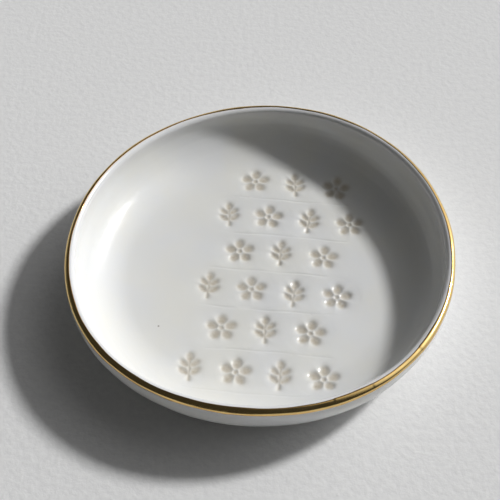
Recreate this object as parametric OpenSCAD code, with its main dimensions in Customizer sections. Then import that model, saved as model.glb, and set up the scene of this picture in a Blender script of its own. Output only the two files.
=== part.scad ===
// Ring dish: a low round dish, formed by hand from one slab of white clay, glazed, with a gilded lip.
// Millimetres, +Z up. The origin is the middle of the flat face that the dish stands on.

/* [Clay body] */
// Radius of the flat floor, where the wall's bend begins
floor_r = 31; // [26:0.1:35]
// Outer radius of the clay at the lip
rim_r = 44.5; // [40:0.1:60]
// Height of the clay at the crest of the lip
clay_h = 13.4; // [12.6:0.1:20]
// Height at which the wall's bend ends and the wall stands upright
bend_h = 11.6; // [8:0.1:12.4]
// Thickness of the clay floor
floor_t = 2.35; // [1.5:0.05:4]
// Thickness of the clay at the lip
lip_t = 1.7; // [1:0.05:3]
// How much of the slab's underside is sanded away to a flat foot
sanded_t = 0.1; // [0.05:0.01:0.3]

/* [Glaze] */
// Thickness of the glaze coats
glaze_t = 0.25; // [0.15:0.01:0.5]
// Height of the glaze line above the face that the dish stands on
glaze_line_h = 1.2; // [0.8:0.05:4]

/* [Gilding] */
// Thickness of the gold on the glaze
gold_t = 0.1; // [0.06:0.01:0.2]
// How far the gold runs down the outside, below the clay's crest
gold_drop = 0.8; // [0.4:0.05:3]
// Angle that the gold laps over the crest towards the well
gold_lap = 6; // [2:1:60]

/* [Waver of the hand-formed outline] */
// How far the outline swells along its longer way
oval_swell = 0.95; // [0:0.05:2]
// Direction of the longer way
oval_dir = 72; // [0:1:180]
// How far the outline swells at its three soft corners
corner_swell = 0.45; // [0:0.05:1.5]
// Direction of the first soft corner
corner_dir = 86; // [0:1:120]
// How far the outline swells at its five slight bumps
bump_swell = 0.1; // [0:0.05:0.5]
// Direction of the first slight bump
bump_dir = 10; // [0:1:72]

/* [Waver of the lip's height] */
// How far the lip rises at its two opposite high sides
saddle_rise = 0.3; // [0:0.05:0.8]
// Direction of the first high side
saddle_dir = 28; // [0:1:180]
// How far the lip rises at its three crests
crest_rise = 0.5; // [0:0.05:0.8]
// Direction of the first crest
crest_dir = 30; // [0:1:120]

/* [Fineness] */
// Facets round the dish
round_facets = 72; // [36:4:96]
// Facets along a bend
bend_facets = 8; // [4:1:10]

/* [Hidden] */
// Whole numbers of facets, also along each half of the lip's rounding
steps = round(round_facets);
bend_steps = round(bend_facets);
lip_steps = ceil(bend_steps / 2);
// Level of the glazed floor: the waver of the height begins above it
well_z = floor_t + glaze_t;
// Radius and middle of the lip's rounding
lip_r = lip_t / 2;
lip_mid = [rim_r - lip_r, clay_h - lip_r];

// How far the outline stands out from its mean, at angle a
function swell(a) =
    oval_swell * cos(2 * (a - oval_dir))
    + corner_swell * cos(3 * (a - corner_dir))
    + bump_swell * cos(5 * (a - bump_dir));

// How far the lip stands above its mean height, at angle a
function rise(a) = saddle_rise * cos(2 * (a - saddle_dir)) + crest_rise * cos(3 * (a - crest_dir));

// Point p of the section, [radius, height], set out at angle a. The waver is full at the lip,
// and the foot and the floor stay flat.
function set_out(p, a) =
    let (r = p[0] + swell(a) * pow(p[0] / rim_r, 2))
    let (above = max(0, p[1] - well_z) / (clay_h - well_z))
    [r * cos(a), r * sin(a), p[1] + rise(a) * pow(above, 2)];

// The clay's surface is a line of points [radius, height, normal], with each normal pointing
// out of the clay. Both faces of the bend are quarter ellipses round one middle.
function bend_point(a, half_w, half_h, side) =
    let (n = [sin(a) / half_w, -cos(a) / half_h])
    [floor_r + half_w * sin(a), bend_h - half_h * cos(a), side * n / norm(n)];
function lip_point(a) = [lip_mid[0] + lip_r * cos(a), lip_mid[1] + lip_r * sin(a), [cos(a), sin(a)]];

outer_bend = [
    for (i = [0 : bend_steps]) bend_point(90 * i / bend_steps, rim_r - floor_r, bend_h + sanded_t, 1)
];
inner_bend = [
    for (i = [bend_steps : -1 : 0])
    bend_point(90 * i / bend_steps, rim_r - lip_t - floor_r, bend_h - floor_t, -1)
];
outer_lip = [for (i = [0 : lip_steps]) lip_point(90 * i / lip_steps)];
inner_lip = [
    for (i = [0 : lip_steps]) lip_point(90 + gold_lap + (90 - gold_lap) * i / lip_steps)
];

// Up the outside to the crest, and from the crest down the inside to the floor
outside = concat(outer_bend, outer_lip);
inside = concat(inner_lip, inner_bend);
crest = lip_point(90);

// A line moved off the clay by a distance, as plain [radius, height]
function coat(line, off) = [for (p = line) [p[0], p[1]] + off * p[2]];
function backwards(line) = [for (i = [len(line) - 1 : -1 : 0]) line[i]];

// The stretch of a rising line that lies above height z, cut at that height
function above_height(line, z) =
    let (k = [for (i = [1 : len(line) - 1]) if (line[i - 1][1] <= z && line[i][1] > z) i][0])
    let (low = line[k - 1], high = line[k])
    let (share = (z - low[1]) / (high[1] - low[1]))
    concat([low + share * (high - low)], [for (i = [k : len(line) - 1]) line[i]]);

// Two triangles for each facet between rings j and k of a section. The diagonal follows from
// the points alone, so two pieces that share a surface share its facets.
function rank(p) = 2 * p[0] + p[1];
function band(section, j, k) = [
    for (i = [0 : steps - 1])
    let (next = (i + 1) % steps)
    let (a = j * steps + i, b = j * steps + next, c = k * steps + i, d = k * steps + next)
    each rank(section[j]) < rank(section[k]) ? [[a, c, d], [a, d, b]] : [[a, c, b], [c, d, b]]
];
function rings(section) = [
    for (p = section) for (i = [0 : steps - 1]) set_out(p, 360 * i / steps)
];

// A solid whose section runs from a flat face below to a flat face above
module capped(section) {
    last = len(section) - 1;
    below = [for (i = [0 : steps - 1]) i];
    above = [for (i = [steps - 1 : -1 : 0]) last * steps + i];
    sides = [for (j = [0 : last - 1]) each band(section, j, j + 1)];
    polyhedron(rings(section), concat([below, above], sides));
}

// A ring-shaped solid whose section is a closed loop
module looped(section) {
    count = len(section);
    polyhedron(rings(section), [for (j = [0 : count - 1]) each band(section, j, (j + 1) % count)]);
}

// The fired clay, sanded flat where it stands
module clay_body() {
    color([0.90, 0.87, 0.81])
    difference() {
        capped(coat(concat(outside, inside), 0));
        translate([-rim_r, -rim_r, -2 * sanded_t]) cube([2 * rim_r, 2 * rim_r, 2 * sanded_t]);
    }
}

// The glaze of the well, from the crest down the wall and over the floor
module inner_glaze() {
    line = concat([crest], inside);
    color([0.96, 0.95, 0.92]) capped(concat(backwards(coat(line, 0)), coat(line, glaze_t)));
}

// The glaze of the outer wall, from the glaze line up to the crest
module outer_glaze() {
    line = above_height(outside, glaze_line_h);
    color([0.96, 0.95, 0.92]) looped(concat(coat(line, glaze_t), backwards(coat(line, 0))));
}

// The gold over the lip
module gold_rim() {
    line = concat(above_height(outside, clay_h - gold_drop), [inner_lip[0]]);
    color([0.83, 0.62, 0.25])
    looped(concat(coat(line, glaze_t + gold_t), backwards(coat(line, glaze_t))));
}

clay_body();
inner_glaze();
outer_glaze();
gold_rim();
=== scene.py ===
import math

import bmesh
import bpy
import numpy as np
from mathutils import Matrix, Vector


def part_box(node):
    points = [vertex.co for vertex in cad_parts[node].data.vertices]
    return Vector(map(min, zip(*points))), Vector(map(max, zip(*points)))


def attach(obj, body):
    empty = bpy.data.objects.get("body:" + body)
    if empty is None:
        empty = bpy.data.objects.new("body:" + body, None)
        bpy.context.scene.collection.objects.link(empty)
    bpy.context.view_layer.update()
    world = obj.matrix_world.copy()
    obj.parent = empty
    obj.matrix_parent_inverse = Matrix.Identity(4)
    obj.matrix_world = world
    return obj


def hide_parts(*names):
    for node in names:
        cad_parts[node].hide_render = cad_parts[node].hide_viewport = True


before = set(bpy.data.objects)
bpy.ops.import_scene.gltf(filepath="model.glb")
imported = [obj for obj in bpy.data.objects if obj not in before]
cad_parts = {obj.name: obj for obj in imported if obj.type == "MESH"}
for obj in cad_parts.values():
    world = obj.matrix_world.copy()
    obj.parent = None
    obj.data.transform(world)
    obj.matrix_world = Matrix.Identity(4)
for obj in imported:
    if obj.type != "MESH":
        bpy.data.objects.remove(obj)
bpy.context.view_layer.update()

# The ring dish is drawn in millimetres and set out in metres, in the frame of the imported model
MM = 0.001

# Driving sizes of the section, as the solids have them: radii R, heights H, thicknesses T,
# and the angle in degrees that the gold laps over the crest
FLOOR_R = 31.0
RIM_R = 44.5
CLAY_H = 13.4
BEND_H = 11.6
FLOOR_T = 2.35
LIP_T = 1.7
SANDED_T = 0.1
GLAZE_T = 0.25
GLAZE_LINE_H = 1.2
GOLD_DROP = 0.8
GOLD_LAP = 6

# Waver of the outline and of the lip's height: amount, number of lobes and direction in degrees
SWELLS = ((0.95, 2, 72), (0.45, 3, 86), (0.1, 5, 10))
RISES = ((0.3, 2, 28), (0.5, 3, 30))

# Sizes that follow from them: the glazed floor's level and the rounding of the lip
WELL_Z = FLOOR_T + GLAZE_T
LIP_R = LIP_T / 2
LIP_MID = np.array([RIM_R - LIP_R, CLAY_H - LIP_R])
LIP_LENGTH = LIP_R * math.pi / 2

# Slight dents that hands leave: depth, length of the wave, its direction in degrees and its start
DENTS = ((0.035, 27, 15, 0.4), (0.03, 21, 100, 2.1), (0.022, 15, 60, 4.0), (0.015, 11, 145, 1.2))

# Fineness of the lines of the section
BEND_POINTS = 181
LIP_POINTS = 91
SAME_POINT = 1e-6

# The floor's grid: how far out it reaches along the slab, cells along a side, the split of a cell
# that holds relief, and the drop across a cell past which it is split
SHEET_R = 36.5
CELLS = 96
SPLIT = 4
SPLIT_DROP = 0.032

# Points round the walls and round the gold, and the azimuths of those round the walls
ROUND = 4 * CELLS
GOLD_ROUND = 4 * ROUND
RING_TURNS = np.radians(-45 + 360 * np.arange(ROUND) / ROUND)


def turned(x, y, angle):
    """Coordinates as seen from axes turned by an angle."""
    return x * math.cos(angle) + y * math.sin(angle), y * math.cos(angle) - x * math.sin(angle)


# Section of the dish

class Line:
    """Points [radius, height] along the section and normals out of the clay, by distance."""

    def __init__(self, *stretches):
        points = np.concatenate([points for points, normals in stretches])
        normals = np.concatenate([normals for points, normals in stretches])
        steps = np.hypot(*np.diff(points, axis=0).T)
        fresh = np.concatenate([[True], steps > SAME_POINT])
        self.table = np.concatenate([points, normals], axis=1)[fresh].T
        self.along = np.concatenate([[0], np.cumsum(steps)])[fresh]
        self.length = self.along[-1]

    def at(self, distance):
        """Radius, height and the two parts of the normal at a distance along the line."""
        return [np.interp(distance, self.along, column) for column in self.table]

    def where_height(self, height):
        """The distance at which a rising line reaches a height."""
        return np.interp(height, self.table[1], self.along)


def bend(shares, half_w, half_h, side):
    """A quarter ellipse from the edge of the floor, share 0, to the top of the bend, share 1."""
    turns = shares * math.pi / 2
    points = np.stack([FLOOR_R + half_w * np.sin(turns), BEND_H - half_h * np.cos(turns)], axis=1)
    normals = np.stack([np.sin(turns) / half_w, -np.cos(turns) / half_h], axis=1)
    return points, side * normals / np.linalg.norm(normals, axis=1, keepdims=True)


def lip(start, end):
    """The rounding of the lip between two angles in degrees: 0 faces outwards and 90 up."""
    turns = np.radians(np.linspace(start, end, LIP_POINTS))
    normals = np.stack([np.cos(turns), np.sin(turns)], axis=1)
    return LIP_MID + LIP_R * normals, normals


def flat(radius, height, up):
    """The flat stretch from the middle out to a radius."""
    return np.array([[0, height], [radius, height]]), np.array([[0, up], [0, up]])


SHARES = np.linspace(0, 1, BEND_POINTS)
OUTER_H = BEND_H + SANDED_T
FOOT_SHARE = math.acos(BEND_H / OUTER_H) / (math.pi / 2)
OUTER_BEND = bend(FOOT_SHARE + (1 - FOOT_SHARE) * SHARES, RIM_R - FLOOR_R, OUTER_H, 1)
INNER_BEND = bend(SHARES, RIM_R - LIP_T - FLOOR_R, BEND_H - FLOOR_T, -1)
FOOT_R = OUTER_BEND[0][0, 0]

INSIDE = Line(flat(FLOOR_R, FLOOR_T, 1), INNER_BEND, lip(180, 90))
OUTSIDE = Line(OUTER_BEND, lip(0, 90))
OVER_LIP = Line(lip(180, 0), tuple(part[::-1] for part in OUTER_BEND))


def lobes(waves, azimuth):
    """The sum of some waves round the dish."""
    return sum(size * np.cos(count * (azimuth - math.radians(start))) for size, count, start in waves)


def dents(points):
    """How far hands have pushed the surface in or out. The foot stays flat."""
    wave = 0
    for size, length, way, start in DENTS:
        across = turned(points[..., 0], points[..., 1], math.radians(way))[0]
        wave = wave + size * np.sin(2 * math.pi * across / length + start)
    return wave * np.clip(points[..., 2] / WELL_Z, 0, 1)


def skin(line, distance, azimuth, off):
    """Points in millimetres that stand off from the clay, at a distance along a line of the section."""
    radius, height, out, up = line.at(distance)
    radius = radius + off * out
    height = height + off * up
    radius = radius + lobes(SWELLS, azimuth) * (radius / RIM_R) ** 2
    above = np.maximum(0, height - WELL_Z) / (CLAY_H - WELL_Z)
    height = height + lobes(RISES, azimuth) * above ** 2
    points = np.stack([radius * np.cos(azimuth), radius * np.sin(azimuth), height], axis=-1)
    normals = np.stack([out * np.cos(azimuth), out * np.sin(azimuth), up + 0 * azimuth], axis=-1)
    return points + dents(points)[..., None] * normals


# Relief of the well: stamped blossoms and sprigs, ruled lines and finger ridges

# Marks in each row, from the back row to the front one, and the place of the block that they form
MARK_COUNTS = (3, 4, 3, 4, 3, 4)
MARK_PITCH = 9.9
ROW_PITCH = 11.2
ROW_TILT = math.radians(-5)
ROW_LEAN = 0.08
BLOCK_X = 4.0

# Depth of a mark, the seed of its unevenness, and the most that its place, turn in degrees,
# depth and tilt are off
MARK_DEPTH = 0.5
MARK_SEED = 11
PLACE_OFF = 0.3
TURN_OFF = 7
DEPTH_OFF = 0.15
TILT_OFF = 0.06

# Softness of a mark's edge, the clay that sinks with it all round, and how far that can reach.
# The clay under the glaze has deeper relief than the glaze that fills it.
EDGE_SOFTNESS = 0.25
SKIRT_REACH = 1.3
SKIRT_SHARE = 0.38
MARK_REACH = 6.5
CLAY_RELIEF = 1.2

# A blossom: its petals, the distance of their middles, half their length and width, and its middle
PETALS = 5
PETAL_AT = 2.15
PETAL_HALF_L = 1.22
PETAL_HALF_W = 0.98
PETAL_BLEND = 0.05
BLOSSOM_MID_R = 0.5

# A sprig: its stem, the leaf at its tip, and pairs of leaves by height on the stem and half length
STEM_LOW = -3.3
STEM_TOP = 1.6
STEM_R = 0.3
TIP_AT = 2.5
TIP_HALF_W = 0.78
TIP_HALF_L = 1.15
LEAF_PAIRS = ((-1.9, 1.3), (0.1, 1.15))
LEAF_HALF_W = 0.72
LEAF_GAP = 0.2
LEAF_SPREAD = 52
LEAF_BLEND = 0.07

# Limits past which shapes no longer melt together and an edge's slope has run out,
# and a tiny share that keeps a division from zero
BLEND_LIMIT = 3
SLOPE_LIMIT = 30
TINY = 1e-9

# A ruled line: its depth, half width and half length, and how far it fades out, bows, sways and shifts
LINE_DEPTH = 0.075
LINE_HALF_W = 0.17
LINE_REACH = 15.5
LINE_FADE = 3
LINE_BOW = 0.35
LINE_SWAY = 0.08
LINE_SHIFT = 1.5
LINE_PRESS = 0.3

# How the sway and the pressure run along a line, and how bow, shift and pressure differ between lines
SWAY_RUN = 0.6
PRESS_RUN = 0.35
BOW_STEP = 2.3
SHIFT_STEP = 4.1
PRESS_STEP = 1.9

# Finger ridges: height, pitch and sway, the side where they are strongest and their share elsewhere,
# and how soon they fade at their start and end
RIDGES = ((0.022, 3.3, 1.4), (0.010, 1.45, 2.6))
RIDGE_SIDE = math.radians(10)
RIDGE_LEAST = 0.35
RIDGE_WAVER = 0.6
RIDGE_FADE_IN = 3
RIDGE_FADE_OUT = 2


def ellipse(x, y, half_w, half_h):
    """Distance from an ellipse's edge, below 0 inside it."""
    near = np.hypot(x / half_w, y / half_h) + TINY
    slope = np.hypot(x / half_w ** 2, y / half_h ** 2) + TINY / half_w
    return near * (near - 1) / slope


def joined(distances, softness):
    """Distance from the edge of some shapes that melt together."""
    near = [np.clip(distance, -BLEND_LIMIT, BLEND_LIMIT) for distance in distances]
    return -softness * np.log(sum(np.exp(-distance / softness) for distance in near))


def blossom(x, y):
    """Petals round a small middle."""
    petals = []
    for k in range(PETALS):
        px, py = turned(x, y, math.radians(90 + 360 / PETALS * k))
        petals.append(ellipse(px - PETAL_AT, py, PETAL_HALF_L, PETAL_HALF_W))
    return np.minimum(joined(petals, PETAL_BLEND), np.hypot(x, y) - BLOSSOM_MID_R)


def sprig(x, y):
    """A stem with pairs of leaves and one leaf at its tip."""
    stem = np.hypot(x, y - np.clip(y, STEM_LOW, STEM_TOP)) - STEM_R
    leaves = [ellipse(x, y - TIP_AT, TIP_HALF_W, TIP_HALF_L)]
    for height, half_length in LEAF_PAIRS:
        for side in (-1, 1):
            lx, ly = turned(x, y - height, math.radians(90 - side * LEAF_SPREAD))
            leaves.append(ellipse(lx - half_length - LEAF_GAP, ly, half_length, LEAF_HALF_W))
    return joined([stem] + leaves, LEAF_BLEND)


def row_y(row):
    """How far back a row of marks lies. Half rows lie between two of them."""
    return ROW_PITCH * ((len(MARK_COUNTS) - 1) / 2 - row)


def make_marks():
    """Place, turn, depth and tilt of each stamped mark, a little uneven as hands stamp them."""
    draw = np.random.default_rng(MARK_SEED)
    marks = []
    for row, count in enumerate(MARK_COUNTS):
        y = row_y(row)
        for column in range(count):
            x = BLOCK_X + ROW_LEAN * y + MARK_PITCH * (column - (count - 1) / 2)
            marks.append({
                "shape": blossom if (row + column) % 2 == 0 else sprig,
                "x": x + draw.uniform(-PLACE_OFF, PLACE_OFF),
                "y": y + draw.uniform(-PLACE_OFF, PLACE_OFF),
                "turn": math.radians(draw.uniform(-TURN_OFF, TURN_OFF)),
                "depth": MARK_DEPTH * draw.uniform(1 - DEPTH_OFF, 1 + DEPTH_OFF),
                "tilt": draw.uniform(-TILT_OFF, TILT_OFF, 2),
            })
    return marks


MARKS = make_marks()


def ruled_lines(x, y):
    """Depth of the faint lines that were ruled between the rows, each uneven in its own way."""
    depth = np.zeros_like(x)
    for k in range(len(MARK_COUNTS)):
        line_y = row_y(k + 0.5)
        from_middle = x - BLOCK_X - ROW_LEAN * line_y
        bow = LINE_BOW * (from_middle / LINE_REACH) ** 2 * math.cos(BOW_STEP * k)
        across = y - line_y - bow - LINE_SWAY * np.sin(SWAY_RUN * x + k)
        shift = LINE_SHIFT * math.sin(SHIFT_STEP * k)
        ends = np.clip((LINE_REACH - np.abs(from_middle + shift)) / LINE_FADE, 0, 1)
        pressed = 1 - LINE_PRESS + LINE_PRESS * np.sin(PRESS_RUN * x + PRESS_STEP * k)
        depth += LINE_DEPTH * ends * pressed * np.exp(-(across / LINE_HALF_W) ** 2)
    return depth


def relief(distance, azimuth):
    """Depth of the stamped and ruled relief, and how far each point lies in a mark, from 0 to 1."""
    x, y = turned(distance * np.cos(azimuth), distance * np.sin(azimuth), ROW_TILT)
    depth = ruled_lines(x, y)
    inside = np.zeros_like(depth)
    for mark in MARKS:
        near = np.hypot(x - mark["x"], y - mark["y"]) < MARK_REACH
        mx, my = turned(x[near] - mark["x"], y[near] - mark["y"], mark["turn"])
        from_edge = mark["shape"](mx, my)
        pit = 1 / (1 + np.exp(np.clip(from_edge / EDGE_SOFTNESS, -SLOPE_LIMIT, SLOPE_LIMIT)))
        within = np.clip(MARK_REACH - np.hypot(mx, my), 0, 1)
        skirt = np.exp(-np.maximum(from_edge, 0) / SKIRT_REACH) * within
        pressed = mark["depth"] * (1 + mark["tilt"][0] * mx + mark["tilt"][1] * my)
        depth[near] += pressed * ((1 - SKIRT_SHARE) * pit + SKIRT_SHARE * skirt)
        inside[near] = np.maximum(inside[near], pit)
    return depth, inside


def finger_ridges(distance, azimuth, start, end):
    """Faint ridges round a wall, strongest on one side, between two distances along it."""
    place = np.clip((distance - start) / RIDGE_FADE_IN, 0, 1)
    place = place * np.clip((end - distance) / RIDGE_FADE_OUT, 0, 1)
    side = RIDGE_LEAST + (1 - RIDGE_LEAST) * (0.5 + 0.5 * np.cos(azimuth - RIDGE_SIDE)) ** 2
    height = 0
    for size, pitch, sway in RIDGES:
        waver = sway * np.sin(2 * azimuth + sway) + RIDGE_WAVER * np.sin(5 * azimuth)
        height = height + size * np.sin(2 * math.pi * distance / pitch + waver)
    return height * side * place


# Meshes

class Shell:
    """Points, faces and point values of one mesh, gathered stretch by stretch."""

    def __init__(self, *value_names):
        self.points = []
        self.faces = []
        self.values = {name: [] for name in value_names}
        self.count = 0

    def add(self, points, **values):
        """Adds points in millimetres and returns their numbers in the mesh, in the same arrangement."""
        numbers = self.count + np.arange(points[..., 0].size).reshape(points.shape[:-1])
        self.points.append(points.reshape(-1, 3))
        for name, kept in self.values.items():
            kept.append(np.broadcast_to(values.get(name, 0.0), points.shape[:-1]).reshape(-1))
        self.count += numbers.size
        return numbers

    def band(self, rings):
        """Joins each ring of numbers to the next one with four-sided faces."""
        for low, high in zip(rings[:-1], rings[1:]):
            faces = np.stack([low, np.roll(low, -1), np.roll(high, -1), high], axis=1)
            self.faces.extend(faces.tolist())

    def build(self, name, sharp_angle):
        """The mesh as a smooth, closed object with its faces turned outwards."""
        mesh = bpy.data.meshes.new(name)
        mesh.from_pydata((np.concatenate(self.points) * MM).tolist(), [], self.faces)
        for value_name, kept in self.values.items():
            attribute = mesh.attributes.new(value_name, "FLOAT", "POINT")
            attribute.data.foreach_set("value", np.concatenate(kept).astype(np.float32))
        faces = bmesh.new()
        faces.from_mesh(mesh)
        bmesh.ops.recalc_face_normals(faces, faces=faces.faces)
        faces.to_mesh(mesh)
        faces.free()
        mesh.shade_smooth()
        mesh.set_sharp_from_angle(angle=math.radians(sharp_angle))
        made = bpy.data.objects.new(name, mesh)
        bpy.context.scene.collection.objects.link(made)
        return made


def disc_lattice(split):
    """Distance from the middle and azimuth of a square lattice drawn out to a round disc."""
    turns = np.radians(np.linspace(-45, 45, CELLS * split + 1))
    a, b = np.meshgrid(turns, turns, indexing="ij")
    x = math.sqrt(2) * np.sin(a) * np.cos(b)
    y = math.sqrt(2) * np.sin(b) * np.cos(a)
    return SHEET_R * np.hypot(x, y), np.arctan2(y, x)


def disc_faces(numbers, split):
    """Faces between the numbered lattice points: a cell is split where all its points have numbers."""
    faces = []
    for i in range(0, numbers.shape[0] - 1, split):
        for j in range(0, numbers.shape[1] - 1, split):
            block = numbers[i:i + split + 1, j:j + split + 1]
            if split > 1 and block.min() >= 0:
                corners = [block[:-1, :-1], block[1:, :-1], block[1:, 1:], block[:-1, 1:]]
                faces.extend(np.stack(corners, axis=-1).reshape(-1, 4).tolist())
            else:
                sides = [block[:-1, 0], block[-1, :-1], block[:0:-1, -1], block[0, :0:-1]]
                outline = np.concatenate(sides)
                faces.append(outline[outline >= 0].tolist())
    return faces


def disc_edge(numbers, split):
    """The outermost ring of a disc's lattice, from azimuth -45 degrees on, one point to a cell."""
    sides = [numbers[-1, :-1], numbers[:0:-1, -1], numbers[0, :0:-1], numbers[:-1, 0]]
    return np.concatenate(sides)[::split]


def add_disc(shell, split, surface, **value_makers):
    """Adds a disc of points surface(distance, azimuth), finer where relief is steep. Returns its edge."""
    distance, azimuth = disc_lattice(split)
    used = np.zeros(distance.shape, bool)
    used[::split, ::split] = True
    if split > 1:
        depth = relief(distance, azimuth)[0]
        for i in range(1, CELLS - 1):
            for j in range(1, CELLS - 1):
                cell = np.s_[i * split:(i + 1) * split + 1, j * split:(j + 1) * split + 1]
                if np.ptp(depth[cell]) > SPLIT_DROP:
                    used[cell] = True
    values = {name: make(distance[used], azimuth[used]) for name, make in value_makers.items()}
    numbers = np.full(distance.shape, -1)
    numbers[used] = shell.add(surface(distance[used], azimuth[used]), **values)
    shell.faces.extend(disc_faces(numbers, split))
    return disc_edge(numbers, split)


def add_rings(shell, distances, surface, **value_makers):
    """Adds rings of points at some distances along a line. Returns their numbers, ring by ring."""
    distance, azimuth = np.meshgrid(distances, RING_TURNS, indexing="ij")
    values = {name: make(distance, azimuth) for name, make in value_makers.items()}
    return list(shell.add(surface(distance, azimuth), **values))


def spaced(start, end, spacing, lip_spacing):
    """Distances from start to end, with a spacing of their own over the lip, the last stretch."""
    turn = end - LIP_LENGTH
    wall = np.linspace(start, turn, max(2, math.ceil((turn - start) / spacing)))
    top = np.linspace(turn, end, math.ceil(LIP_LENGTH / lip_spacing) + 1)
    return np.concatenate([wall, top[1:]])


# Pieces of the dish

# Spacing of the rings on a wall and over the lip
GLAZE_SPACING = (0.33, 0.12)
UNDER_SPACING = (0.8, 0.16)
CLAY_SPACING = (0.6, 0.2)

# The glaze line's waver, and the bead that the glaze forms there: its width and rise,
# and in shares of its width its rounded edge, its middle and its spread
GLAZE_LINE_WAVES = ((0.12, 3, 40), (0.07, 7, 10), (0.05, 13, 25), (0.03, 29, 5))
BEAD_W = 0.9
BEAD_RISE = 0.3
BEAD_EDGE = 0.45
BEAD_MID = 0.5
BEAD_SPREAD = 0.35

# Rings of the outer glaze, by share of the way from the glaze line to the crest
BEAD_END = 0.07
LIP_BEGIN = 0.88
BEAD_RINGS = 15
WALL_RINGS = 34
LIP_RINGS = 16
UNDER_RINGS = 18

# How far from the crest and from the glaze line the glaze has run out to a thinner coat, whose cooler
# tone near the crest also paints a sheen of reflected sky
THIN_AND_SHEEN_AT_LIP = 3.2
THIN_AT_FOOT = 0.6

# Where the finger ridges begin and end, inside and outside
INNER_RIDGES = (FLOOR_R + 5, INSIDE.length - LIP_LENGTH)
OUTER_RIDGES = (6, OUTSIDE.length - LIP_LENGTH)

# The hollow of the foot: its depth, and its reach as a share of the foot's radius
FOOT_HOLLOW = 0.1
HOLLOW_REACH = 0.8

# Angles in degrees past which an edge is sharp
GLAZE_SHARP = 50
CLAY_SHARP = 35
GOLD_SHARP = 80


def clay_top(distance, azimuth):
    """The clay's face in the well, which is also the underside of the glaze there."""
    depth = relief(distance, azimuth)[0]
    return skin(INSIDE, distance, azimuth, -CLAY_RELIEF * depth)


def well_top(distance, azimuth):
    """The glazed face of the well."""
    depth = relief(distance, azimuth)[0]
    ridges = finger_ridges(distance, azimuth, *INNER_RIDGES)
    return skin(INSIDE, distance, azimuth, GLAZE_T - depth + ridges)


def in_mark(distance, azimuth):
    """How far a point lies in a stamped mark, where the glaze has pooled and its darker colour also
    paints the mark's shade.
    """
    return relief(distance, azimuth)[1]


def near_lip(distance, azimuth):
    """1 at the crest of the lip, where the glaze has thinned and its cooler tone also paints a sheen of
    reflected sky, fading out down the wall.
    """
    return np.clip(1 - (INSIDE.length - distance) / THIN_AND_SHEEN_AT_LIP, 0, 1) + 0 * azimuth


def make_well_glaze():
    """The glaze coat of the well, from the middle of the floor to the crest of the lip."""
    shell = Shell("pool", "thin")
    fine = spaced(SHEET_R, INSIDE.length, *GLAZE_SPACING)
    coarse = spaced(SHEET_R, INSIDE.length, *UNDER_SPACING)
    top_edge = add_disc(shell, SPLIT, well_top, pool=in_mark)
    top = add_rings(shell, fine[1:], well_top, thin=near_lip)
    under_edge = add_disc(shell, 1, clay_top)
    under = add_rings(shell, coarse[1:], clay_top)
    shell.band([top_edge] + top + under[::-1] + [under_edge])
    return shell.build("well_glaze", GLAZE_SHARP)


def glaze_line(azimuth):
    """Distance along the outside at which the glaze begins, a little uneven."""
    height = GLAZE_LINE_H + lobes(GLAZE_LINE_WAVES, azimuth)
    return OUTSIDE.where_height(height)


def wall_distance(share, azimuth):
    """Distance along the outside, from share 0 at the glaze line to share 1 at the crest."""
    start = glaze_line(azimuth)
    return start + share * (OUTSIDE.length - start)


def wall_top(share, azimuth):
    """The outer face of the wall's glaze, with a rounded bead along the glaze line."""
    distance = wall_distance(share, azimuth)
    across = (distance - glaze_line(azimuth)) / BEAD_W
    rounding = np.sqrt(1 - (1 - np.clip(across / BEAD_EDGE, 0, 1)) ** 2)
    bead = 1 + BEAD_RISE * np.exp(-((across - BEAD_MID) / BEAD_SPREAD) ** 2)
    ridges = finger_ridges(distance, azimuth, *OUTER_RIDGES)
    return skin(OUTSIDE, distance, azimuth, GLAZE_T * rounding * bead + ridges)


def wall_under(share, azimuth):
    """The inner face of the wall's glaze, on the clay."""
    return skin(OUTSIDE, wall_distance(share, azimuth), azimuth, 0)


def near_ends(share, azimuth):
    """1 at the glaze line and at the crest, where the glaze has thinned; at the crest its cooler tone
    also paints a sheen of reflected sky.
    """
    distance = wall_distance(share, azimuth)
    at_lip = np.clip(1 - (OUTSIDE.length - distance) / THIN_AND_SHEEN_AT_LIP, 0, 1)
    at_foot = np.clip(1 - (distance - glaze_line(azimuth)) / THIN_AT_FOOT, 0, 1)
    return np.maximum(at_lip, at_foot)


def make_wall_glaze():
    """The glaze coat of the outer wall, from the glaze line to the crest of the lip."""
    shell = Shell("thin")
    bead = np.linspace(0, BEAD_END, BEAD_RINGS)
    wall = np.linspace(BEAD_END, LIP_BEGIN, WALL_RINGS)
    over_lip = np.linspace(LIP_BEGIN, 1, LIP_RINGS)
    fine = np.concatenate([bead, wall[1:], over_lip[1:]])
    coarse = np.concatenate([np.linspace(0, LIP_BEGIN, UNDER_RINGS), over_lip[1::2]])
    top = add_rings(shell, fine, wall_top, thin=near_ends)
    under = add_rings(shell, coarse[1:], wall_under)
    shell.band([under[0]] + top + under[::-1])
    return shell.build("wall_glaze", GLAZE_SHARP)


def outside_clay(distance, azimuth):
    """The clay's outer face."""
    return skin(OUTSIDE, distance, azimuth, 0)


def foot_face(distance, azimuth):
    """The sanded foot: flat, and hollow by a hair in the middle, as a slab dries."""
    radius = FOOT_R * distance / SHEET_R
    radius = radius + lobes(SWELLS, azimuth) * (radius / RIM_R) ** 2
    hollow = FOOT_HOLLOW * np.clip(1 - (radius / (HOLLOW_REACH * FOOT_R)) ** 2, 0, 1) ** 2
    return np.stack([radius * np.cos(azimuth), radius * np.sin(azimuth), hollow], axis=-1)


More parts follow.
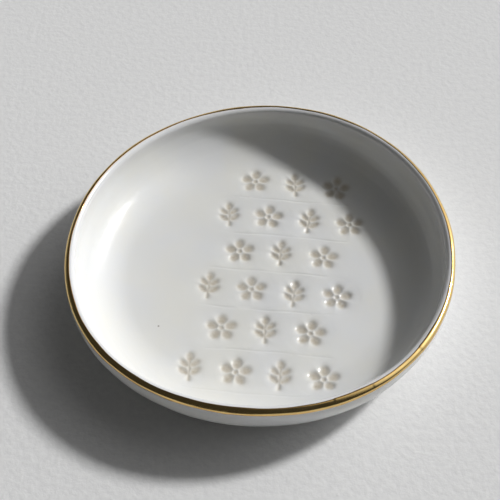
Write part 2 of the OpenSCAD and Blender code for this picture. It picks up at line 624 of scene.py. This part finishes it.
def make_clay():
    """The fired clay, from the sanded foot round the wall to the floor of the well."""
    shell = Shell()
    up = spaced(0, OUTSIDE.length, *CLAY_SPACING)
    down = spaced(SHEET_R, INSIDE.length, *UNDER_SPACING)
    foot_edge = add_disc(shell, 1, foot_face)
    outside = add_rings(shell, up[1:], outside_clay)
    well_edge = add_disc(shell, 1, clay_top)
    inside = add_rings(shell, down[1:-1], clay_top)
    shell.band([foot_edge] + outside + inside[::-1] + [well_edge])
    return shell.build("clay_dish", CLAY_SHARP)


# Gold: its edges waver as a brush leaves them, and strokes overlap in small steps

# Thickness of the film, how far its underside has sunk into the glaze, how its edges round off,
# and the rings of points across its face and its back
GOLD_FILM = 0.05
GOLD_SUNK = 0.01
GOLD_ROUNDING = 7
GOLD_RINGS = 18
GOLD_BACK_RINGS = 7

# Waver of the edge on the outer wall and of the edge towards the well
LOW_EDGE_WAVES = ((0.05, 4, 20), (0.035, 9, 5), (0.025, 17, 12), (0.02, 31, 3), (0.012, 53, 1))
TOP_EDGE_WAVES = ((0.03, 5, 50), (0.025, 11, 18), (0.018, 23, 7), (0.01, 47, 2))

# Small drops at the lower edge: direction in degrees, size and half width in degrees
DROPS = ((-98.9, 0.10, 1.3), (-122.5, 0.12, 1.6), (37, 0.09, 1.4), (140, 0.08, 1.5))

# Ends of brush strokes: direction in degrees, and what each adds to the film and to the width,
# then how sharply a stroke ends and over how many degrees it fades out
STROKE_ENDS = (
    (-70.2, 0.045, 0.16),
    (-58.5, 0.035, -0.1),
    (-39.9, 0.05, 0.14),
    (96, 0.02, 0.06),
    (205, 0.02, -0.05),
)
STROKE_STEEP = 0.12
STROKE_FADE = 14

# Streaks along the band: height and number across it, broad ones and fine ones
STREAK_H = 0.011
STREAKS_ACROSS = 2.1
FINE_STREAK_H = 0.003
FINE_STREAKS_ACROSS = 4.6

# How the browner edges, thinned gold with a painted dark reflection, fade out towards the middle of the
# band
EDGE_AND_REFLECTION_FADE = 2.5


def off_angle(azimuth, degrees):
    """How far an azimuth lies past a direction, in degrees, from -180 to 180."""
    return (np.degrees(azimuth) - degrees + 180) % 360 - 180


def stroke_steps(azimuth):
    """Film thickness and width that each brush stroke adds where it ends, fading out behind it."""
    film, width = 0, 0
    for degrees, rise, widening in STROKE_ENDS:
        past = off_angle(azimuth, degrees)
        step = 1 / (1 + np.exp(-past / STROKE_STEEP)) * np.clip(1 - past / STROKE_FADE, 0, 1)
        film = film + rise * step
        width = width + widening * step
    return film, width


def gold_edges(azimuth):
    """Where the gold begins towards the well and ends on the outer wall, in distance over the lip."""
    width = stroke_steps(azimuth)[1]
    lap = math.radians(GOLD_LAP) * LIP_R
    down = (math.pi / 2 - math.asin((CLAY_H - GOLD_DROP - LIP_MID[1]) / LIP_R)) * LIP_R
    drops = sum(size * np.exp(-(off_angle(azimuth, at) / spread) ** 2) for at, size, spread in DROPS)
    top = LIP_LENGTH - lap + lobes(TOP_EDGE_WAVES, azimuth) - width / 2
    low = LIP_LENGTH + down + lobes(LOW_EDGE_WAVES, azimuth) + drops + width / 2
    return top, low


def gold_surface(share, azimuth, off_of):
    """Points across the gold band, from share 0 at its inner edge to share 1 at its lower edge."""
    top, low = gold_edges(azimuth)
    return skin(OVER_LIP, top + share * (low - top), azimuth, GLAZE_T + off_of(share, azimuth))


def gold_film(share, azimuth):
    """Height of the gold's face: rounded off at both edges, and streaked along the brush's way."""
    film = stroke_steps(azimuth)[0]
    across = 2 * math.pi * share
    broad_sway = 1.3 * np.sin(3 * azimuth) + np.sin(7 * azimuth + 1)
    fine_sway = 2 * np.sin(5 * azimuth + 2)
    streaks = STREAK_H * np.sin(STREAKS_ACROSS * across + broad_sway)
    streaks = streaks + FINE_STREAK_H * np.sin(FINE_STREAKS_ACROSS * across + fine_sway)
    rounding = np.clip(1 - np.abs(2 * share - 1) ** GOLD_ROUNDING, 0, 1)
    return (GOLD_FILM + film + streaks) * rounding - GOLD_SUNK


def gold_back(share, azimuth):
    """The gold's underside, which has sunk a hair into the glaze."""
    return -GOLD_SUNK + 0 * share * azimuth


def make_gold():
    """The gold band over the lip, in a closed film of its own."""
    shell = Shell("edge", "brush_x", "brush_y", "brush_across")
    turns = 2 * math.pi * np.arange(GOLD_ROUND) / GOLD_ROUND
    shares = 0.5 - 0.5 * np.cos(np.linspace(0, math.pi, GOLD_RINGS))
    share, azimuth = np.meshgrid(shares, turns, indexing="ij")
    face = list(shell.add(
        gold_surface(share, azimuth, gold_film),
        edge=np.abs(2 * share - 1) ** EDGE_AND_REFLECTION_FADE,
        brush_x=RIM_R * np.cos(azimuth),
        brush_y=RIM_R * np.sin(azimuth),
        brush_across=share,
    ))
    back_shares = np.linspace(0, 1, GOLD_BACK_RINGS)[1:-1]
    share, azimuth = np.meshgrid(back_shares, turns, indexing="ij")
    back = list(shell.add(gold_surface(share, azimuth, gold_back), edge=1.0))
    shell.band(face + back[::-1] + [face[0]])
    return shell.build("gold_band", GOLD_SHARP)


# Materials

class Nodes:
    """Builds a node tree with short calls: an input that is a socket is linked, any other is set."""

    def __init__(self, tree):
        self.tree = tree
        self.tree.nodes.clear()

    def add(self, kind, inputs=(), **settings):
        """A new node, with its inputs by name or number and its other settings."""
        made = self.tree.nodes.new(kind)
        for name, value in settings.items():
            setattr(made, name, value)
        for name, value in dict(inputs).items():
            self.put(value, made.inputs[name])
        return made

    def put(self, value, socket):
        """Links or sets one input."""
        if isinstance(value, bpy.types.NodeSocket):
            self.tree.links.new(value, socket)
        else:
            socket.default_value = value

    def math(self, operation, first, second, clamp=False):
        """A sum, product or the like of two values."""
        inputs = {0: first, 1: second}
        return self.add("ShaderNodeMath", inputs, operation=operation, use_clamp=clamp).outputs[0]

    def vector_math(self, operation, first, second):
        """The single value that an operation makes of two vectors."""
        made = self.add("ShaderNodeVectorMath", {0: first, 1: second}, operation=operation)
        return made.outputs["Value"]

    def ranged(self, value, source, target, smooth=False):
        """A value carried over from one range to another, and held at its ends."""
        inputs = {
            "Value": value, "From Min": source[0], "From Max": source[1],
            "To Min": target[0], "To Max": target[1],
        }
        kind = "SMOOTHSTEP" if smooth else "LINEAR"
        return self.add("ShaderNodeMapRange", inputs, interpolation_type=kind).outputs["Result"]

    def mix(self, share, first, second):
        """A mix of two colours, sockets 6 and 7: share 0 gives the first, and share 1 the second."""
        made = self.add("ShaderNodeMix", {0: share, 6: first, 7: second}, data_type="RGBA")
        return made.outputs[2]

    def noise(self, vector, size_mm, detail, roughness=0.5):
        """Noise whose coarsest lumps have a size in millimetres."""
        inputs = {"Vector": vector, "Scale": 1 / (size_mm * MM), "Detail": detail, "Roughness": roughness}
        return self.add("ShaderNodeTexNoise", inputs).outputs["Fac"]

    def mapped(self, vector, **inputs):
        """A vector that is turned or scaled."""
        return self.add("ShaderNodeMapping", {"Vector": vector, **inputs}).outputs[0]

    def value_of(self, name):
        """A point value of the mesh."""
        return self.add("ShaderNodeAttribute", attribute_name=name).outputs["Fac"]

    def place(self):
        """The place on the object, in metres."""
        return self.add("ShaderNodeTexCoord").outputs["Object"]

    def bump(self, height, depth_mm, **under):
        """Bump of a height from 0 to 1 that stands for a depth, on another bump's Normal or none."""
        inputs = {"Strength": 1.0, "Distance": depth_mm * MM, "Height": height, **under}
        return self.add("ShaderNodeBump", inputs).outputs["Normal"]

    def surface(self, **inputs):
        """The surface shader, whose inputs are named with _ for a space."""
        named = {name.replace("_", " "): value for name, value in inputs.items()}
        shader = self.add("ShaderNodeBsdfPrincipled", named)
        output = self.add("ShaderNodeOutputMaterial")
        self.tree.links.new(shader.outputs[0], output.inputs["Surface"])


def material(name):
    """A new material and the builder of its nodes."""
    made = bpy.data.materials.new(name)
    made.use_nodes = True
    return made, Nodes(made.node_tree)


def colour(red, green, blue):
    """An opaque colour."""
    return (red, green, blue, 1.0)


# Glaze: its two tones; where it has thinned, with a cooler tone that near the crest also paints a sheen
# of reflected sky; where it has pooled, with a darker tone that also paints the shade in the marks; and
# how rough it is
GLAZE_WHITE = colour(0.82, 0.815, 0.775)
GLAZE_COOL = colour(0.80, 0.805, 0.80)
# Cooler tone of glaze that has thinned, which near the crest also paints the sky's reflection on the lip
# as a painted sheen
GLAZE_THIN_AND_SHEEN = colour(0.80, 0.80, 0.815)
# The colour of pooled glaze in the marks, darkened further as painted shade in the recesses
GLAZE_POOL_AND_SHADE = colour(0.56, 0.50, 0.40)
POOL_AND_SHADE_SHARES = (0.7, 1.0)
THIN_AND_SHEEN_SHARE = 0.8
GLAZE_ROUGHNESS = (0.19, 0.27)

# One dark speck in the well: its place, the radii of its core and its edge, how ragged and how dark
SPECK_BROWN = colour(0.16, 0.11, 0.07)
SPECK_AT = (-22.86, -16.19, 2.6)
SPECK_CORE = 0.15
SPECK_EDGE = 0.42
SPECK_RAGGED = 0.2
SPECK_SHARE = 0.8

# Bare clay: its two tones, its dark grains, how rough it is, and the marks of sanding,
# by their turn in radians and how far they are drawn out
CLAY_PALE = colour(0.78, 0.74, 0.66)
CLAY_WARM = colour(0.70, 0.65, 0.56)
CLAY_GRAIN = colour(0.50, 0.43, 0.34)
GRAIN_SHARE = 0.35
CLAY_ROUGHNESS = (0.72, 0.9)
SANDING_TURN = 0.6
SANDING_STRETCH = 0.06
SANDING_SHARE = 0.8

# Gold: its two tones, and the browner tone of its edges, where it thins out and which also paints a dark
# reflection, how rough it is, and the streaks' scale along and across the brush's way
GOLD_BRIGHT = colour(0.90, 0.68, 0.30)
GOLD_DEEP = colour(0.80, 0.54, 0.19)
GOLD_EDGE_AND_REFLECTION = colour(0.62, 0.30, 0.10)
EDGE_AND_REFLECTION_SHARES = (0.45, 1)
GOLD_ROUGHNESS = (0.10, 0.24)
PATCH_SHARE = 0.5
STREAK_ALONG = 0.00025
STREAK_ACROSS = 0.012


def glaze_material(name, in_well):
    """Glossy off-white glaze, faintly uneven in tone, with the slight peel of a fired coat."""
    made, nodes = material(name)
    at = nodes.place()
    tone = nodes.ranged(nodes.noise(at, size_mm=14, detail=3), (0.35, 0.65), (0, 1))
    base = nodes.mix(tone, GLAZE_WHITE, GLAZE_COOL)
    # The cooler tone where the glaze has thinned, which near the crest is also a painted sheen of
    # reflected sky
    thin = nodes.math("MULTIPLY", nodes.value_of("thin"), THIN_AND_SHEEN_SHARE)
    base = nodes.mix(thin, base, GLAZE_THIN_AND_SHEEN)
    if in_well:
        # Pooled glaze in the marks, with painted shade in the recesses darkening it further
        mottle = nodes.ranged(nodes.noise(at, size_mm=0.7, detail=2), (0.3, 0.7), POOL_AND_SHADE_SHARES)
        pool = nodes.math("MULTIPLY", nodes.value_of("pool"), mottle)
        base = nodes.mix(pool, base, GLAZE_POOL_AND_SHADE)
        reach = nodes.vector_math("DISTANCE", at, tuple(value * MM for value in SPECK_AT))
        ragged = nodes.math("MULTIPLY", nodes.noise(at, size_mm=0.25, detail=2), SPECK_RAGGED * MM)
        reach = nodes.math("ADD", reach, ragged)
        dark = nodes.ranged(reach, (SPECK_CORE * MM, SPECK_EDGE * MM), (SPECK_SHARE, 0))
        base = nodes.mix(dark, base, SPECK_BROWN)
    gloss = nodes.ranged(nodes.noise(at, size_mm=5, detail=4), (0.3, 0.7), GLAZE_ROUGHNESS)
    peel = nodes.bump(nodes.noise(at, size_mm=1.6, detail=2), depth_mm=0.012)
    fine = nodes.bump(nodes.noise(at, size_mm=0.35, detail=2), depth_mm=0.0015, Normal=peel)
    nodes.surface(
        Base_Color=base, Roughness=gloss, Normal=fine, IOR=1.5,
        Subsurface_Weight=0.15, Subsurface_Radius=(1.0, 0.9, 0.75), Subsurface_Scale=0.5 * MM,
    )
    return made


def clay_material():
    """Bare fired clay: matte, warm, finely grained, and rubbed by sanding under the foot."""
    made, nodes = material("bare clay")
    at = nodes.place()
    tone = nodes.ranged(nodes.noise(at, size_mm=6, detail=4), (0.3, 0.7), (0, 1))
    base = nodes.mix(tone, CLAY_PALE, CLAY_WARM)
    grain = nodes.noise(at, size_mm=0.22, detail=3, roughness=0.65)
    base = nodes.mix(nodes.ranged(grain, (0.62, 0.75), (0, GRAIN_SHARE)), base, CLAY_GRAIN)
    rubbed = nodes.mapped(at, Rotation=(0, 0, SANDING_TURN), Scale=(1, SANDING_STRETCH, 1))
    scratches = nodes.noise(rubbed, size_mm=0.3, detail=3, roughness=0.6)
    height = nodes.math("ADD", grain, nodes.math("MULTIPLY", scratches, SANDING_SHARE))
    rough = nodes.ranged(scratches, (0.3, 0.7), CLAY_ROUGHNESS)
    nodes.surface(Base_Color=base, Roughness=rough, Normal=nodes.bump(height, depth_mm=0.03))
    return made


def gold_material():
    """Fired gold lustre: bright, streaked by the brush, and browner at its edges, where it thins out and
    where the brown also paints a dark reflection.
    """
    made, nodes = material("gold lustre")
    values = {"X": "brush_x", "Y": "brush_y", "Z": "brush_across"}
    parts = {axis: nodes.value_of(name) for axis, name in values.items()}
    brush = nodes.add("ShaderNodeCombineXYZ", parts).outputs[0]
    along = nodes.mapped(brush, Scale=(STREAK_ALONG, STREAK_ALONG, STREAK_ACROSS))
    streaks = nodes.noise(along, size_mm=1.1, detail=3, roughness=0.6)
    at = nodes.place()
    patches = nodes.noise(at, size_mm=4, detail=3)
    base = nodes.mix(nodes.ranged(streaks, (0.35, 0.7), (0, 1)), GOLD_BRIGHT, GOLD_DEEP)
    # The browner edges: thinned gold, with a painted dark reflection along them
    ragged = nodes.ranged(nodes.noise(at, size_mm=0.8, detail=2), (0.3, 0.7), EDGE_AND_REFLECTION_SHARES)
    edge = nodes.math("MULTIPLY", nodes.value_of("edge"), ragged, clamp=True)
    base = nodes.mix(edge, base, GOLD_EDGE_AND_REFLECTION)
    uneven = nodes.math("ADD", streaks, nodes.math("MULTIPLY", patches, PATCH_SHARE))
    rough = nodes.ranged(uneven, (0.5, 0.95), GOLD_ROUGHNESS)
    normal = nodes.bump(streaks, depth_mm=0.006)
    normal = nodes.bump(nodes.noise(at, size_mm=0.5, detail=2), depth_mm=0.0015, Normal=normal)
    nodes.surface(Base_Color=base, Metallic=1.0, Roughness=rough, Normal=normal)
    return made


# Floor, light and camera

# The floor: how far it reaches in metres, how far it lies under the foot in millimetres, its tones
FLOOR_REACH = 6.0
FLOOR_GAP = 0.02
FLOOR_PALE = colour(0.84, 0.84, 0.835)
FLOOR_GREY = colour(0.80, 0.80, 0.80)

# The key lamp, with its angles in degrees
SUN_AZIMUTH = 28
SUN_ELEVATION = 37
SUN_SPREAD = 8
SUN_STRENGTH = 2.8

# The sky: its strength overhead, on the bright side of the horizon and in the glow, how high the
# horizon reaches, its bright side in degrees and how the light passes round to it,
# and the glow's direction, edge and core in degrees
SKY_DIM = 0.035
SKY_HORIZON = 0.5
SKY_GLOW = 0.95
HORIZON_TOP = 0.42
BRIGHT_SIDE = 60
SIDE_PASSAGE = (-0.7, 0.9)
GLOW_AZIMUTH = 33
GLOW_ELEVATION = 36
GLOW_EDGE = 46
GLOW_CORE = 8

# The camera: its place in millimetres, its angles in degrees, its lens and its sensor's width,
# and the distance in metres from which it sees
CAMERA_AT = (-2.52, -149.11, 192.41)
CAMERA_DOWN = 50.698
CAMERA_ROLL = 0.786
CAMERA_LENS = 73.98
SENSOR_W = 36
CLIP_START = 0.01

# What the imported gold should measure: its crest above the clay's mean height, and how far it may be off
GOLD_CREST_UP = 1.2
CREST_ROOM = 0.6
ACROSS_ROOM = 1.5


def towards(azimuth, elevation):
    """The unit vector in a direction given in degrees."""
    a, e = math.radians(azimuth), math.radians(elevation)
    return Vector((math.cos(a) * math.cos(e), math.sin(a) * math.cos(e), math.sin(e)))


def make_floor():
    """A plain pale floor that reaches far past the dish."""
    mesh = bpy.data.meshes.new("floor")
    signs = ((-1, -1), (1, -1), (1, 1), (-1, 1))
    corners = [(x * FLOOR_REACH, y * FLOOR_REACH, -FLOOR_GAP * MM) for x, y in signs]
    mesh.from_pydata(corners, [], [(0, 1, 2, 3)])
    made, nodes = material("pale floor")
    grain = nodes.noise(nodes.place(), size_mm=1.5, detail=4, roughness=0.55)
    base = nodes.mix(nodes.ranged(grain, (0.35, 0.65), (0, 1)), FLOOR_GREY, FLOOR_PALE)
    nodes.surface(Base_Color=base, Roughness=0.9, Normal=nodes.bump(grain, depth_mm=0.12))
    mesh.materials.append(made)
    floor = bpy.data.objects.new("floor", mesh)
    bpy.context.scene.collection.objects.link(floor)


def make_sky():
    """Soft fill: dim overhead, paler low down on the bright side, with a glow round the key lamp."""
    world = bpy.data.worlds.new("studio")
    world.use_nodes = True
    bpy.context.scene.world = world
    nodes = Nodes(world.node_tree)
    way = nodes.add("ShaderNodeTexCoord").outputs["Generated"]
    height = nodes.add("ShaderNodeSeparateXYZ", {0: way}).outputs["Z"]
    low = nodes.ranged(height, (0.0, HORIZON_TOP), (SKY_HORIZON, 0), smooth=True)
    side = nodes.vector_math("DOT_PRODUCT", way, towards(BRIGHT_SIDE, 0))
    horizon = nodes.math("MULTIPLY", low, nodes.ranged(side, SIDE_PASSAGE, (0, 1), smooth=True))
    facing = nodes.vector_math("DOT_PRODUCT", way, towards(GLOW_AZIMUTH, GLOW_ELEVATION))
    ring = (math.cos(math.radians(GLOW_EDGE)), math.cos(math.radians(GLOW_CORE)))
    glow = nodes.ranged(facing, ring, (SKY_DIM, SKY_GLOW), smooth=True)
    light = nodes.math("ADD", horizon, glow)
    background = nodes.add("ShaderNodeBackground", {"Color": colour(1, 1, 1), "Strength": light})
    output = nodes.add("ShaderNodeOutputWorld")
    world.node_tree.links.new(background.outputs[0], output.inputs["Surface"])


def make_key():
    """A soft key lamp from behind on the right."""
    lamp = bpy.data.lights.new("key", "SUN")
    lamp.energy = SUN_STRENGTH
    lamp.angle = math.radians(SUN_SPREAD)
    key = bpy.data.objects.new("key", lamp)
    key.rotation_euler = towards(SUN_AZIMUTH, SUN_ELEVATION).to_track_quat("Z", "Y").to_euler()
    bpy.context.scene.collection.objects.link(key)


def make_camera():
    """The photograph's viewpoint: in front, looking down into the dish."""
    data = bpy.data.cameras.new("camera")
    data.lens = CAMERA_LENS
    data.sensor_width = SENSOR_W
    data.clip_start = CLIP_START
    camera = bpy.data.objects.new("camera", data)
    down, roll = math.radians(CAMERA_DOWN), math.radians(CAMERA_ROLL)
    right = Vector((1, 0, 0))
    up = Vector((0, math.sin(down), math.cos(down)))
    forward = Vector((0, math.cos(down), -math.sin(down)))
    rolled_right = math.cos(roll) * right + math.sin(roll) * up
    rolled_up = math.cos(roll) * up - math.sin(roll) * right
    turn = Matrix((rolled_right, rolled_up, -forward)).transposed().to_4x4()
    camera.matrix_world = Matrix.Translation(Vector(CAMERA_AT) * MM) @ turn
    bpy.context.scene.collection.objects.link(camera)
    bpy.context.scene.camera = camera


def check_fit():
    """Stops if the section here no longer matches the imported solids."""
    low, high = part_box("gold_rim")
    across = ((high - low).x + (high - low).y) / 2 / MM
    crest = high.z / MM
    off_across = abs(across - 2 * (RIM_R + GLAZE_T))
    off_crest = abs(crest - (CLAY_H + GOLD_CREST_UP))
    if off_across > ACROSS_ROOM or off_crest > CREST_ROOM:
        raise RuntimeError("the packed dish has another size than this script draws")


check_fit()
make_floor()
make_sky()
make_key()
make_camera()

PIECES = (
    (make_clay, clay_material(), "clay_body", "clay"),
    (make_well_glaze, glaze_material("well glaze", in_well=True), "inner_glaze", "glaze"),
    (make_wall_glaze, glaze_material("wall glaze", in_well=False), "outer_glaze", "glaze"),
    (make_gold, gold_material(), "gold_rim", "gold"),
)
for make, finish, node, slot in PIECES:
    piece = make()
    piece.data.materials.append(finish)
    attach(piece, "root")
    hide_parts(node)

view = bpy.context.scene.view_settings
view.view_transform = "Standard"
